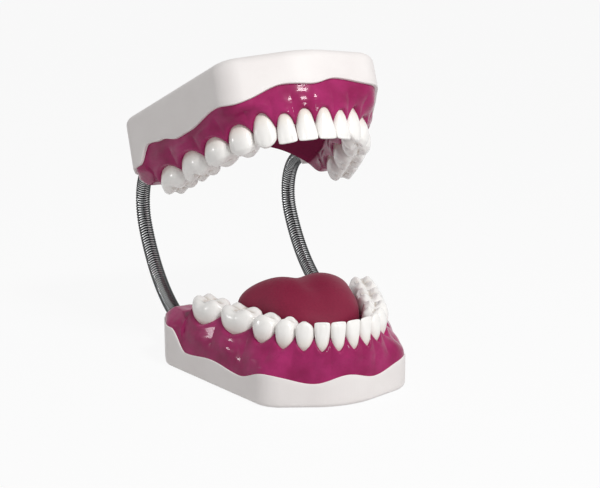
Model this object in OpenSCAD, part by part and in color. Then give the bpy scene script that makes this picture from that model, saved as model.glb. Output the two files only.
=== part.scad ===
// Giant demonstration model of a set of teeth, shown open.
// The lower jaw stands on its flat base. Two gooseneck arms leave the backs of both bases, bow out
// behind in a C and carry the upper jaw. Millimetres, +Z up, the front teeth face -Y.
// The origin is on the table, in the middle of the lower base.

/* [Base castings] */
// Width of the lower base across its heels
lower_base_w = 174; // [170:1:180]
// Width of the upper base across its heels
upper_base_w = 187; // [182:1:192]
// Depth of the lower base, front to back
lower_base_d = 161; // [158:1:166]
// Depth of the upper base, front to back
upper_base_d = 168; // [165:1:172]
// Distance between the two corners of the lower base beside the canines
lower_corner_w = 110; // [104:1:116]
// Distance between the two corners of the upper base beside the canines
upper_corner_w = 118; // [112:1:124]
// How far those corners lie behind the front of the lower base
lower_corner_back = 22; // [18:1:24]
// How far those corners lie behind the front of the upper base
upper_corner_back = 17; // [14:1:20]
// Width of the lower back face
lower_back_w = 162; // [158:1:166]
// Width of the upper back face
upper_back_w = 170; // [166:1:174]
// How far the heel corners lie in front of the back face
heel_front = 22; // [20:1:28]
// Radius of the nose of a base
nose_r = 60; // [40:1:70]
// Radius of the corners beside the canines
corner_r = 22; // [10:1:26]
// Radius of the heel corners
heel_r = 14; // [8:1:18]
// Radius of the corners at the back
back_r = 11; // [8:1:12]
// Height of the lower base at its back
lower_base_h = 34; // [33:0.5:36]
// Height of the upper base at its back
upper_base_h = 42; // [40:1:46]
// Height of the lower base under the tongue
lower_bed = 24; // [20:1:26]
// Height of the upper base over the palate
upper_bed = 20; // [18:1:24]
// Depth of the bar across the back of the lower base
back_bar = 18; // [16:1:20]
// Radius of the lower base's edge on the table
lower_edge_r = 3.5; // [1:0.5:5]
// Radius of the upper base's top edge
upper_edge_r = 7; // [1:0.5:8]
// Roof left over the hollow
roof = 5; // [4:0.5:6]

/* [Gum line] */
// Heights of the lower gum line above the table, from the midline to the heel
lower_line = [22.5, 17.6, 23.8, 16.2, 19, 15.9, 31, 33]; // [14:0.1:34]
// Where along the lower arch those heights fall, as shares of its length
lower_line_at = [0, 0.13, 0.29, 0.43, 0.6, 0.77, 0.87, 1]; // [0:0.01:1]
// Heights of the upper gum line from the top face, from the midline to the heel
upper_line = [26.2, 24.5, 33.5, 31, 36, 29.5, 40.5, 41]; // [22:0.1:42]
// Where along the upper arch those heights fall, as shares of its length
upper_line_at = [0, 0.1, 0.26, 0.35, 0.515, 0.71, 0.82, 1]; // [0:0.01:1]
// Width of the ledge of lower base outside its gum
lower_ledge = 0.8; // [0.5:0.1:3]
// Width of the ledge of upper base outside its gum
upper_ledge = 2.4; // [0.5:0.1:4]
// Thickness of gum on the tongue side of the teeth
tongue_side_t = 4; // [3:0.5:7]
// Thickness of the gum that floors each jaw
floor_t = 4; // [3:0.5:6]
// Rise of the palate from its middle to the teeth
palate_rise = 19; // [14:1:22]
// Length over which the palate falls away behind the front teeth
vault_run = 52; // [40:1:60]
// How far the gum swells over each root
root_swell = 1.6; // [0:0.1:2.5]
// How far the gum stops short of the back face
gum_back = 4; // [3:0.5:8]

/* [Teeth] */
// Half-width of the oval that the lower front teeth follow
lower_arch_w = 59; // [57:0.5:61]
// Depth of that oval
lower_arch_d = 85; // [82:1:88]
// Half-width of the oval that the upper front teeth follow
upper_arch_w = 67.5; // [65:0.5:69]
// Depth of that oval
upper_arch_d = 85; // [82:1:88]
// Angle round the oval at which the lower back teeth leave it, in degrees
lower_arch_turn = 61; // [59:1:63]
// Angle round the oval at which the upper back teeth leave it, in degrees
upper_arch_turn = 70.5; // [69:0.5:72]
// How far the lower front teeth stand behind the front of the base
lower_front = 6.4; // [6:0.1:8]
// How far the upper front teeth stand behind the front of the base
upper_front = 6.4; // [6:0.1:8]
// Height of the lower biting edges at the front
lower_bite_h = 60.4; // [58:0.1:63]
// Height of the upper biting edges at the front, from the top face
upper_bite_h = 65.2; // [63:0.1:68]
// Drop of the biting plane towards the back, in degrees
bite_slope = 1; // [0:0.1:2.5]
// Gap left between the upper and lower teeth when shut
bite_gap = 0.8; // [0.5:0.1:2]
// Widths of the lower teeth, front to back
lower_tooth_w = [11.8, 11.9, 14.2, 17, 22, 33.2, 34]; // [9:0.1:40]
// Depths of the lower teeth, lip to tongue
lower_tooth_d = [13, 13.5, 15.5, 16.5, 18, 20.5, 20.5]; // [12:0.1:26]
// Crown heights of the lower teeth
lower_crown_h = [21, 21, 21, 21, 20, 19.5, 19.5]; // [14:0.1:24]
// Widths of the upper teeth, front to back
upper_tooth_w = [15.4, 14.5, 18, 22.7, 28.4, 31, 33]; // [12:0.1:36]
// Depths of the upper teeth, lip to tongue
upper_tooth_d = [15.5, 15, 17.5, 19, 20, 22.5, 22.5]; // [12:0.1:28]
// Crown heights of the upper teeth
upper_crown_h = [23, 21.5, 25, 22, 20.5, 20, 19]; // [14:0.1:27]
// Length of the peg that each tooth has in the gum
tooth_peg = 9; // [7:0.5:11]
// Height of the cusps on the back teeth
cusp_h = 2.6; // [1.5:0.1:4]
// Gap left between neighbouring teeth
tooth_gap = 0.3; // [0.2:0.05:0.6]

/* [Tongue] */
// Length of the tongue
tongue_l = 100; // [96:1:104]
// Greatest width of the tongue
tongue_w = 88; // [80:1:90]
// Height of the tongue's top above the table
tongue_top = 76; // [70:0.5:77]
// Height of its widest part above the floor of the mouth
tongue_edge = 19; // [15:1:24]
// Depth of the groove down its middle
groove_d = 3; // [1:0.25:4]
// Width of that groove
groove_w = 12; // [8:0.5:16]
// Clearance between the tongue and the gum round it
tongue_fit = 2; // [1:0.25:4]
// Distance of the tongue in front of the bar behind it
tongue_gap = 14; // [8:0.5:16]

/* [Gooseneck arms] */
// Outer diameter of an arm over its ribs
arm_od = 11.6; // [10:0.1:12]
// Depth of the groove between two ribs
rib_depth = 0.7; // [0.4:0.1:1]
// Distance from rib to rib
rib_pitch = 2.5; // [2.5:0.1:4]
// Bore of an arm
arm_bore = 4; // [3:0.1:4.5]
// Distance between the two arms
arm_spacing = 128; // [122:1:130]
// Height of the arms where they leave the lower base
lower_arm_h = 25; // [23:0.1:25.5]
// Distance of the arms below the top face where they leave the upper base
upper_arm_h = 27.6; // [26:0.1:29]
// Length of an arm between the two back faces
arm_l = 204; // [200:1:208]
// Slope of an arm once it is clear of the lower base, in degrees
arm_rise = 18; // [12:0.5:22]
// Length along an arm at which it has that slope
rise_at = 30; // [24:1:36]
// Slope of an arm where its tight bend begins, in degrees
bend_from = 59; // [54:0.5:64]
// Length along an arm at which its tight bend begins
bend_at = 116; // [112:1:120]
// Length along an arm at which its tight bend ends
bend_end = 171; // [168:1:176]
// Turn left in an arm after its tight bend, in degrees
last_turn = 4.5; // [0:0.5:8]
// How far the upper jaw is tipped open, in degrees
open_angle = 25.5; // [22:0.5:28]
// Half-angles of the relief between the stretches of an arm, bottom to top, in degrees
relief = [8, 25, 16.5]; // [6:0.5:28]

/* [Arm sockets and fasteners] */
// Outer diameter of a socket
socket_od = 15; // [14:0.5:17]
// Length of a socket outside the base
socket_l = 9; // [8:0.5:12]
// Depth of the cup that takes the arm
cup_depth = 6; // [4:0.5:7]
// Clearance of the arm in its cup
cup_fit = 0.2; // [0.1:0.05:0.4]
// Diameter of the threaded stud
stud_d = 6; // [5:0.5:6.5]
// Clearance round the stud in the back wall
stud_fit = 0.2; // [0.1:0.05:0.4]
// Width of a nut across its flats
nut_af = 10; // [9:0.5:11]
// Height of a nut
nut_h = 5; // [4:0.5:7]
// Diameter of a nut's flange
nut_flange_d = 13; // [12:0.5:13.5]
// Thickness of a nut's flange
nut_flange_t = 1.6; // [1:0.1:2.5]
// Clearance of the thread in its nut
thread_fit = 0.05; // [0.02:0.01:0.1]
// Stud left showing past its nut
stud_tail = 2; // [1:0.5:4]
// Room round a nut in its chamber
nut_room = 2; // [1:0.5:3]
// Thickness of base between the palate and the nuts' chambers
chamber_wall = 2; // [1.5:0.5:4]
// Thickness of the closing plates
plate_t = 3; // [2.5:0.1:4]
// Flat rim of base left round a closing plate
plate_rim = 1.5; // [1:0.25:2.5]
// Width of the step that a closing plate is seated on
plate_seat = 2.5; // [2:0.25:3.5]
// Clearance round a closing plate
plate_fit = 0.25; // [0.1:0.05:0.5]
// Diameter of the plate screws
screw_d = 3.6; // [3:0.1:4]
// Length of the plate screws
screw_l = 9; // [8:0.5:10]
// Diameter of the countersunk screw heads
head_d = 7.2; // [6.5:0.1:8]
// Clearance of a screw in the plate and in its boss
screw_fit = 0.15; // [0.05:0.05:0.3]
// Diameter of the screw bosses
boss_d = 11; // [9:0.5:12]
// Distance between the screws, side to side
screw_dx = 76; // [70:1:80]
// Distance between the screws, front to back
screw_dy = 78; // [72:1:82]

/* [Hidden] */
TEETH = ["central", "lateral", "canine", "premolar_1", "premolar_2", "molar_1", "molar_2"];

// The values of the two jaws, as [lower, upper].
// Each jaw is worked out with its base flat down and its teeth up.
base_w = [lower_base_w, upper_base_w];
base_d = [lower_base_d, upper_base_d];
corner_w = [lower_corner_w, upper_corner_w];
corner_back = [lower_corner_back, upper_corner_back];
back_w = [lower_back_w, upper_back_w];
base_h = [lower_base_h, upper_base_h];
bed = [lower_bed, upper_bed];
ledge = [lower_ledge, upper_ledge];
edge_r = [lower_edge_r, upper_edge_r];
plate_in = [for (r = edge_r) r + plate_rim];
wall = [for (d = plate_in) d + plate_seat];
arch_w = [lower_arch_w, upper_arch_w];
arch_d = [lower_arch_d, upper_arch_d];
arch_turn = [lower_arch_turn, upper_arch_turn];
arch_front = [lower_front - lower_base_d / 2, upper_front - upper_base_d / 2];
bite_h = [lower_bite_h, upper_bite_h];
tooth_w = [lower_tooth_w, upper_tooth_w];
tooth_d = [lower_tooth_d, upper_tooth_d];
crown_h = [lower_crown_h, upper_crown_h];
arm_h = [lower_arm_h, upper_arm_h];
vault = [0, palate_rise];
line = [lower_line, upper_line];
line_at = [lower_line_at, upper_line_at];
tilt = tan(bite_slope);
// How far the upper jaw's middle lies in front of the lower one's when shut, with their backs in line
overhang = (upper_base_d - lower_base_d) / 2;
closed_h = lower_bite_h + upper_bite_h + bite_gap + tilt * (arch_front[0] - arch_front[1] + overhang);
tooth_sides = 12;
overcut = 1;
// How far inside the arch the wall of a base is looked for
probe = 12;
// Hairline between faces that would otherwise lie in one plane
seam = 0.02;

// Colours
plaster = "#e6e1dd";
gum_red = "#a3316a";
tongue_red = "#84263f";
enamel = "#f4f1ea";
chrome = "#8d9093";
steel = "#a9acb0";

// Curves
function unit(v) = v / norm(v);
function ease(t) = (1 - cos(180 * t)) / 2;
function power(v, p) = sign(v) * pow(abs(v), p);

// Smooth curve through the values at the given places
function through(at, values, v) =
    let (n = len(at), i = max([for (k = [0:n - 2]) if (at[k] <= v || k == 0) k]))
    values[i] + (values[i + 1] - values[i]) * ease(min(1, max(0, (v - at[i]) / (at[i + 1] - at[i]))));

// Running totals of a list
function totals(v) = [for (i = 0, t = v[0]; i < len(v); i = i + 1, t = t + (i < len(v) ? v[i] : 0)) t];

// Polygon with each corner rounded to its own radius
function rounded(corners, radii, steps = 5) =
    let (n = len(corners))
    [for (i = [0:n - 1])
        let (
            c = corners[i],
            r = radii[i],
            u = unit(corners[(i + n - 1) % n] - c),
            v = unit(corners[(i + 1) % n] - c),
            half = acos(u * v) / 2,
            mid = c + unit(u + v) * r / sin(half),
            from = atan2(-unit(u + v)[1], -unit(u + v)[0]),
            turn = cross(u, v) > 0 ? -1 : 1
        )
        for (k = [-steps:2:steps])
            let (q = from + turn * (90 - half) * k / steps)
            mid + r * [cos(q), sin(q)]];

// Distance from p in direction d to the polygon round it
function reach(p, d, poly) =
    min([for (i = [0:len(poly) - 1])
        let (
            a = poly[i] - p,
            e = poly[(i + 1) % len(poly)] - poly[i],
            den = cross(d, e),
            t = abs(den) < 1e-9 ? 1e6 : cross(a, e) / den,
            s = abs(den) < 1e-9 ? -1 : cross(a, d) / den
        )
        t > 0 && s > -1e-6 && s < 1 + 1e-6 ? t : 1e6]);

// Outline of the bases
function outline(j, inset) =
    let (
        hw = base_w[j] / 2,
        hd = base_d[j] / 2,
        right = [
            [0, -hd],
            [corner_w[j] / 2, corner_back[j] - hd],
            [hw, hd - heel_front],
            [back_w[j] / 2, hd]
        ],
        all = concat(right, [for (k = [3:-1:1]) [-right[k][0], right[k][1]]]),
        n = len(all)
    )
    rounded(
        [for (i = [0:n - 1])
            let (
                u = unit(all[i] - all[(i + n - 1) % n]),
                v = unit(all[(i + 1) % n] - all[i]),
                inward = unit([-u[1], u[0]] + [-v[1], v[0]])
            )
            all[i] + inward * inset / (inward * [-u[1], u[0]])],
        [for (r = [nose_r, corner_r, heel_r, back_r, back_r, heel_r, corner_r]) max(1, r - inset)]
    );
base_outline = [outline(0, 0), outline(1, 0)];

// Arches of teeth
// Arc length against angle round the oval part of the arch
arch_steps = 40;
function arch_table(w, d, turn) =
    let (step = turn / arch_steps)
    [for (i = 0, s = 0; i <= arch_steps;
        s = s + norm([w * cos((i + 0.5) * step), d * sin((i + 0.5) * step)]) * PI * step / 180, i = i + 1)
        [s, i * step]];
arch_tab = [for (j = [0, 1]) arch_table(arch_w[j], arch_d[j], arch_turn[j])];
curve_l = [for (tab = arch_tab) tab[arch_steps][0]];
// Past the oval the arch runs out on the slope it has there, and turns straight back at its end
flare = [for (j = [0, 1]) arch_w[j] * cos(arch_turn[j]) / (arch_d[j] * sin(arch_turn[j]))];
tail_l = [for (j = [0, 1]) base_d[j] / 2 - gum_back - arch_front[j] - arch_d[j] * (1 - cos(arch_turn[j]))];
// Length of a half arch, from the midline to the end of the gum
half_l = [for (j = [0, 1]) curve_l[j] + tail_l[j]];

// Point and outward direction at arc length s; a negative s is the left side
function arch(j, s) =
    let (
        m = s < 0 ? -1 : 1,
        t = lookup(abs(s), arch_tab[j]),
        past = max(0, abs(s) - curve_l[j]),
        slope = flare[j] * (1 - pow(past / tail_l[j], 2)),
        out = past > 0 ? unit([1, -slope]) : unit([sin(t) / arch_w[j], -cos(t) / arch_d[j]])
    )
    [
        [
            m * (arch_w[j] * sin(t) + flare[j] * (past - pow(past, 3) / pow(tail_l[j], 2) / 3)),
            arch_front[j] + arch_d[j] * (1 - cos(t)) + past
        ],
        [m * out[0], out[1]]
    ];

// Height of the biting plane at depth y
function bite(j, y) = bite_h[j] + (j == 0 ? -1 : 1) * tilt * (y - arch_front[j]);

// Ends and middles of the teeth along the half arch
tooth_end = [for (w = tooth_w) totals(w)];
tooth_mid = [for (j = [0, 1]) [for (i = [0:6]) tooth_end[j][i] - tooth_w[j][i] / 2]];
function depth_at(j, s) = through(tooth_mid[j], tooth_d[j], abs(s));
function crown_at(j, s) = through(tooth_mid[j], crown_h[j], abs(s));

// Teeth
// Each level: share of the crown height, share of the width, lip side and tongue side as shares of the depth.
// The first level is the end of the peg. The last one of a back tooth is the floor of its hollow.
incisor = [
    [0, 0.74, -0.06, -0.94],
    [0.22, 0.87, 0.03, -1],
    [0.5, 0.97, 0.05, -0.8],
    [0.8, 1, 0.02, -0.42],
    [1, 0.94, -0.04, -0.2]
];
canine = [
    [0, 0.77, -0.06, -0.95],
    [0.22, 0.9, 0.04, -1],
    [0.5, 1, 0.07, -0.86],
    [0.76, 0.95, 0.03, -0.54],
    [0.91, 0.62, -0.02, -0.34],
    [1, 0.2, -0.1, -0.22]
];
premolar = [
    [0, 0.8, -0.05, -0.92],
    [0.28, 0.93, 0.04, -1],
    [0.55, 1, 0.06, -1.02],
    [0.84, 0.95, -0.03, -0.93],
    [1, 0.72, -0.18, -0.76],
    [0.84, 0.34, -0.38, -0.58]
];
molar = [
    [0, 0.85, -0.04, -0.94],
    [0.28, 0.95, 0.03, -1],
    [0.55, 1, 0.05, -1.01],
    [0.84, 0.97, -0.02, -0.95],
    [1, 0.82, -0.13, -0.83],
    [0.82, 0.46, -0.34, -0.64]
];
profiles = [incisor, incisor, canine, premolar, premolar, molar, molar];
cusps = [0, 0, 0, 2, 2, 4, 4];

// One level of a tooth about its own axis: x along the arch, y towards the lip, z from the biting plane
function tooth_ring(w, d, z, level, cusp_count) =
    [for (k = [0:tooth_sides - 1])
        let (
            q = 360 * (k + 0.5) / tooth_sides,
            dip = level[0] == 1 && cusp_count > 0 ? cusp_h * (1 + cos(cusp_count * q)) / 2 : 0
        )
        [
            w * level[1] / 2 * power(cos(q), 0.75),
            d * (level[2] + level[3]) / 2 + d * (level[2] - level[3]) / 2 * power(sin(q), 0.75),
            z - dip
        ]];

// The levels of tooth i of jaw j, on side m, bent along its arch
function tooth_rings(j, m, i) =
    let (
        w = tooth_w[j][i] - tooth_gap,
        d = tooth_d[j][i],
        h = crown_h[j][i],
        p = profiles[i],
        peg = [0, p[0][1] * 0.68, p[0][2] - 0.2, p[0][3] + 0.2],
        rings = concat(
            [tooth_ring(w, d, -h - tooth_peg, peg, 0)],
            [for (level = p) tooth_ring(w, d, h * (level[0] - 1), level, cusps[i])]
        )
    )
    [for (ring = rings)
        [for (q = ring)
            let (a = arch(j, m * (tooth_mid[j][i] + q[0])), xy = a[0] + a[1] * q[1])
            [xy[0], xy[1], bite(j, xy[1]) + q[2]]]];

// Skin over a list of closed rings, with flat ends, or joined end to end
module skin(rings, flip = false, joined = false) {
    n = len(rings[0]);
    m = len(rings);
    sides = [for (i = [0:m - (joined ? 1 : 2)], k = [0:n - 1])
        let (
            a = i * n + k,
            b = i * n + (k + 1) % n,
            c = ((i + 1) % m) * n + (k + 1) % n,
            d = ((i + 1) % m) * n + k
        )
        each [[a, c, b], [a, d, c]]];
    ends = joined ? [] : [[for (k = [0:n - 1]) k], [for (k = [n - 1:-1:0]) (m - 1) * n + k]];
    faces = concat(sides, ends);
    polyhedron(
        points = [for (ring = rings) each ring],
        faces = flip ? [for (f = faces) [for (k = [len(f) - 1:-1:0]) f[k]]] : faces
    );
}

module tooth(j, m, i) {
    color(enamel) seat(j) skin(tooth_rings(j, m, i), flip = m > 0);
}

// Room in the gum for one tooth: its peg, its neck and the lower half of its crown
module tooth_room(j, m, i) {
    rings = tooth_rings(j, m, i);
    hull() skin([for (k = [0:3]) rings[k]], flip = m > 0);
}

// Gums
// Places along the arch where the gum is drawn: three to a tooth, and four behind the last one
function gum_places(j) =
    let (
        half = concat(
            [for (i = [0:6], f = [0, 0.28, 0.72]) tooth_end[j][i] - tooth_w[j][i] * (1 - f)],
            [for (k = [0:4]) tooth_end[j][6] + (half_l[j] - tooth_end[j][6]) * k / 4]
        ),
        n = len(half)
    )
    concat([for (k = [n - 1:-1:1]) -half[k]], half);

// 1 between two teeth, 0 over the middle of a tooth
function between(j, s) =
    let (
        a = abs(s),
        i = min([for (k = [0:6]) if (a <= tooth_end[j][k] + 0.001) k, 7]),
        f = i > 6 ? 0.5 : (tooth_end[j][i] - a) / tooth_w[j][i]
    )
    pow(abs(2 * f - 1), 2.2);

// Height of the base under the tongue side of the gum; it climbs where the arms are let in at the back
function bed_at(j, y) =
    bed[j] + (base_h[j] - bed[j]) * ease(min(1, max(0, (y - base_d[j] / 2 + 2.8 * back_bar) / back_bar)));

// One cross-section of the gum, lip side first, then over the ridge and down to the floor
function gum_ring(j, s) =
    let (
        a = arch(j, s),
        y = a[0][1],
        d = depth_at(j, s),
        behind = min(1, max(0, (abs(s) - tooth_end[j][6]) / 12)),
        gap = between(j, s) * (1 - behind),
        neck = bite(j, y) - crown_at(j, s),
        top = neck + gap * 0.4 * crown_at(j, s) + behind * 3,
        edge = reach(a[0] - a[1] * probe, a[1], base_outline[j]) - probe - ledge[j],
        low = through(line_at[j], line[j], abs(s) / half_l[j]),
        swell = root_swell * (1 - 1.4 * gap) * (1 - behind),
        inner = -d - tongue_side_t,
        under = bed_at(j, y),
        slant = min(5, (neck - under) / 2),
        wall_z = max(under + 0.5, min(bed[j] + floor_t + vault[j], neck - slant - 0.5))
    )
    [for (p = [
        [edge, low],
        [edge - 0.8, low + 0.3 * (neck - low)],
        [edge * 0.62 + 0.9 + swell, low + 0.6 * (neck - low)],
        [min(edge * 0.5, 3.2 + swell * 0.7), neck - min(4, 0.25 * (neck - low))],
        [1.2 - gap * (2.2 + 0.1 * d) - behind * 4, top],
        [-d / 2, top + 0.4],
        [-d - 1.2 + gap * (2.2 + 0.1 * d) + behind * 4, top],
        [-d - 0.6 * tongue_side_t, neck - slant],
        [inner, wall_z],
        [inner, under],
        [inner + 3, under]
    ])
        let (xy = a[0] + a[1] * p[0])
        [xy[0], xy[1], p[1]]];

// Edge of the floor of a jaw, set out from the tongue side of the gum and clear of the nuts
function floor_edge(j, out) =
    let (
        back = base_d[j] / 2 - (j == 0 ? back_bar : gum_back),
        places = gum_places(j),
        widest = (arm_spacing - nut_flange_d) / 2 - nut_room - chamber_wall,
        half = [for (k = [(len(places) - 1) / 2:len(places) - 2])
            let (
                s = (places[k] + places[k + 1]) / 2,
                a = arch(j, s),
                p = a[0] - a[1] * (depth_at(j, s) + tongue_side_t - out)
            )
            if (p[0] >= 0 && p[1] < back - 3) [min(p[0], widest), p[1]]],
        right = concat(half, [[half[len(half) - 1][0], back]])
    )
    concat(
        [for (k = [len(right) - 1:-1:1]) [-right[k][0], right[k][1]]],
        [[0, right[0][1]]],
        [for (k = [1:len(right) - 1]) right[k]]
    );

module gum_ridge(j) {
    skin([for (s = gum_places(j)) gum_ring(j, s)], flip = true);
}

// Room for the ridge of gum in the top of a base
module gum_bed(j) {
    high = base_h[j] + overcut;
    skin([for (s = gum_places(j))
        let (
            ring = gum_ring(j, s),
            n = len(ring),
            o = arch(j, s)[1] * 2 * probe,
            out = ring[0] + [o[0], o[1], 0]
        )
        [
            [ring[n - 2][0], ring[n - 2][1], high],
            ring[n - 2],
            ring[n - 1],
            ring[0],
            out,
            [out[0], out[1], high]
        ]], flip = true);
}

// Floor of a jaw: flat under the tongue, vaulted at the palate
module gum_floor(j) {
    edge = floor_edge(j, overcut);
    n = len(edge);
    cols = 6;
    low = bed[j] + seam;
    front = edge[(n - 1) / 2][1];
    // Cross-sections from front to back, each closed by the flat underside
    skin([for (k = [(n + 1) / 2:n - 1])
        let (
            x = edge[k][0],
            y = edge[k][1],
            lip = pow(max(0, 1 - (y - front) / vault_run), 1.6),
            top = [for (c = [-cols / 2:cols / 2])
                let (w = 2 * c / cols, side = pow(abs(w), 2.4))
                [w * x, y, bed[j] + floor_t + vault[j] * (1 - (1 - side) * (1 - lip))]]
        )
        concat(top, [[x, y, low], [-x, y, low]])]);
}

module gum(j) {
    color(gum_red) seat(j) difference() {
        union() {
            gum_ridge(j);
            gum_floor(j);
        }
        for (m = [-1, 1], i = [0:6]) tooth_room(j, m, i);
    }
}

// Bases
module at_screws() {
    for (x = [-1, 1], y = [-1, 1])
        translate([x * screw_dx / 2, y * screw_dy / 2 - back_bar / 2, 0]) children();
}

module at_arms(j) {
    for (m = [-1, 1]) translate([m * arm_spacing / 2, base_d[j] / 2, arm_h[j]]) children();
}

module hollow(j) {
    lowest = min([for (v = line[j]) v]);
    top = min(lowest, bed[j]) - roof;
    pocket_l = nut_h + nut_flange_t + stud_tail + 14;
    difference() {
        translate([0, 0, plate_t - overcut])
            linear_extrude(top - plate_t + overcut) polygon(outline(j, wall[j]));
        at_screws() cylinder(d = boss_d, h = top + overcut, $fn = 48);
    }
    // Chambers for the nuts
    at_arms(j) translate([-nut_flange_d / 2 - nut_room, -wall[j] - pocket_l, plate_t - overcut - arm_h[j]])
        cube([nut_flange_d + 2 * nut_room, pocket_l, arm_h[j] - plate_t + overcut + nut_flange_d / 2 + 1]);
}

// Solid casting with its edge rounded all the way round
module casting(j) {
    r = edge_r[j];
    levels = concat([for (q = [0:22.5:90]) [r * (1 - sin(q)), r * (1 - cos(q))]], [[0, base_h[j]]]);
    skin([for (v = levels) [for (p = outline(j, v[0])) [p[0], p[1], v[1]]]]);
}

module base(j) {
    color(plaster) seat(j) difference() {
        casting(j);
        gum_bed(j);
        translate([0, 0, bed[j]]) linear_extrude(base_h[j]) polygon(floor_edge(j, overcut));
        if (j == 1) palate_end();
        translate([0, 0, -overcut]) linear_extrude(plate_t + overcut) polygon(outline(j, plate_in[j]));
        hollow(j);
        at_arms(j) rotate([90, 0, 0]) translate([0, 0, -overcut])
            cylinder(d = stud_d + 2 * stud_fit, h = wall[j] + 2 * overcut, $fn = 48);
        at_screws() translate([0, 0, plate_t - overcut])
            cylinder(d = screw_d + 2 * screw_fit, h = screw_l - plate_t + 2 * overcut, $fn = 32);
    }
}

// The palate runs out through the back of the upper base
module palate_end() {
    edge = floor_edge(1, overcut);
    last = edge[len(edge) - 1];
    translate([-last[0], last[1] - overcut, upper_bed])
        cube([2 * last[0], gum_back + 2 * overcut, upper_base_h]);
}

module plate(j) {
    color(plaster) seat(j) difference() {
        linear_extrude(plate_t) polygon(outline(j, plate_in[j] + plate_fit));
        at_screws() {
            hole = screw_d + 2 * screw_fit;
            translate([0, 0, -overcut]) cylinder(d = hole, h = plate_t + 2 * overcut, $fn = 32);
            cylinder(d1 = head_d + 2 * screw_fit, d2 = hole, h = (head_d - screw_d) / 2, $fn = 48);
        }
    }
}

module plate_screws(j) {
    slot_w = screw_d / 3;
    color(steel) seat(j) at_screws() difference() {
        rotate_extrude($fn = 48) polygon([
            [0, 0],
            [head_d / 2, 0],
            [screw_d / 2, (head_d - screw_d) / 2],
            [screw_d / 2, screw_l - screw_d / 2],
            [0, screw_l]
        ]);
        for (q = [0, 90]) rotate(q) translate([-screw_d / 2, -slot_w / 2, -overcut])
            cube([screw_d, slot_w, overcut + slot_w]);
    }
}

// Tongue
// Half-width of the floor left for the tongue, against depth
tongue_room = [for (p = floor_edge(0, -tongue_fit)) if (p[0] >= 0) [p[1], p[0]]];

// Cross-section at share v of its length
function tongue_ring(v) =
    let (
        y = lower_base_d / 2 - back_bar - tongue_gap - tongue_l * (1 - v),
        floor_z = lower_bed + floor_t,
        room = lookup(y, tongue_room),
        hw = min(room, tongue_w / 2) * through([0, 0.1, 0.62, 1], [0.6, 1, 1, 0.66], v),
        top = floor_z + (tongue_top - floor_z) * through([0, 0.1, 0.3, 0.54, 1], [0.5, 0.7, 0.93, 1, 0.5], v),
        low = floor_z + 14 * pow(max(0, 1 - v / 0.1), 2),
        mid = max(low + tongue_edge / 5, floor_z + tongue_edge),
        upper = [for (q = [0:15:180])
            let (x = hw * power(cos(q), 0.9), z = mid + (top - mid) * pow(sin(q), 0.75))
            [x, y, z - groove_d * exp(-pow(2 * x / groove_w, 2)) * min(1, 3 * v)]]
    )
    concat(
        [[hw * 0.84, y, low], [hw * 0.96, y, (low + mid) / 2]],
        upper,
        [[-hw * 0.96, y, (low + mid) / 2], [-hw * 0.84, y, low]]
    );

module tongue() {
    color(tongue_red) skin(
        [for (v = [0, 0.04, 0.1, 0.19, 0.3, 0.44, 0.58, 0.72, 0.86, 1]) tongue_ring(v)],
        flip = true
    );
}

// Gooseneck arms
// Slope of an arm at length s: straight in its sockets, and a row of arcs between them
end_angle = 180 - open_angle;
slopes = [
    [socket_l, 0],
    [rise_at, arm_rise],
    [bend_at, bend_from],
    [bend_end, end_angle - last_turn],
    [arm_l - socket_l, end_angle]
];
function slope(s) = lookup(s, slopes);

// Points along an arm, one a millimetre: length, depth, height
arm_run = [for (s = 0, y = lower_base_d / 2, z = lower_arm_h; s <= arm_l + 0.5;
    y = y + cos(slope(s + 0.5)), z = z + sin(slope(s + 0.5)), s = s + 1) [s, y, z]];
run_y = [for (p = arm_run) [p[0], p[1]]];
run_z = [for (p = arm_run) [p[0], p[2]]];
function arm_at(s) = [lookup(s, run_y), lookup(s, run_z)];

// Where the arms bend, and the stretches between those places
hinges = [24, 104, 190];
ends = concat([socket_l - cup_depth], hinges, [arm_l - socket_l + cup_depth]);

function arm_ring(m, s, r, shift = 0) =
    let (c = arm_at(s), a = slope(s))
    [for (k = [0:7])
        let (q = 45 * k + 22.5, up = r * sin(q))
        [
            m * arm_spacing / 2 + r * cos(q),
            c[0] - up * sin(a) + shift * cos(a),
            c[1] + up * cos(a) + shift * sin(a)
        ]];

// One stretch of an arm: ribs outside, a bore inside, and coned ends where it meets the next one
module arm(m, k) {
    r = arm_od / 2;
    inner = arm_bore / 2;
    s0 = ends[k - 1];
    s1 = ends[k];
    cone0 = k == 1 ? 0 : tan(relief[k - 2]);
    cone1 = k == 4 ? 0 : tan(relief[k - 1]);
    from = s0 + r * cone0;
    to = s1 - r * cone1;
    ribs = max(1, floor((to - from) / rib_pitch));
    step = (to - from) / ribs;
    bore_steps = max(1, round((s1 - s0) / 9));
    outer = [for (i = [0:ribs - 1], f = [0, 0.5])
        arm_ring(m, from + (i + f) * step, f == 0 ? r - rib_depth : r)];
    bore0 = s0 + inner * cone0;
    bore1 = s1 - inner * cone1;
    bored = [for (i = [bore_steps:-1:0]) arm_ring(m, bore0 + (bore1 - bore0) * i / bore_steps, inner)];
    color(chrome) skin(concat(outer, [arm_ring(m, to, r - rib_depth)], bored), flip = true, joined = true);
}

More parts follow.
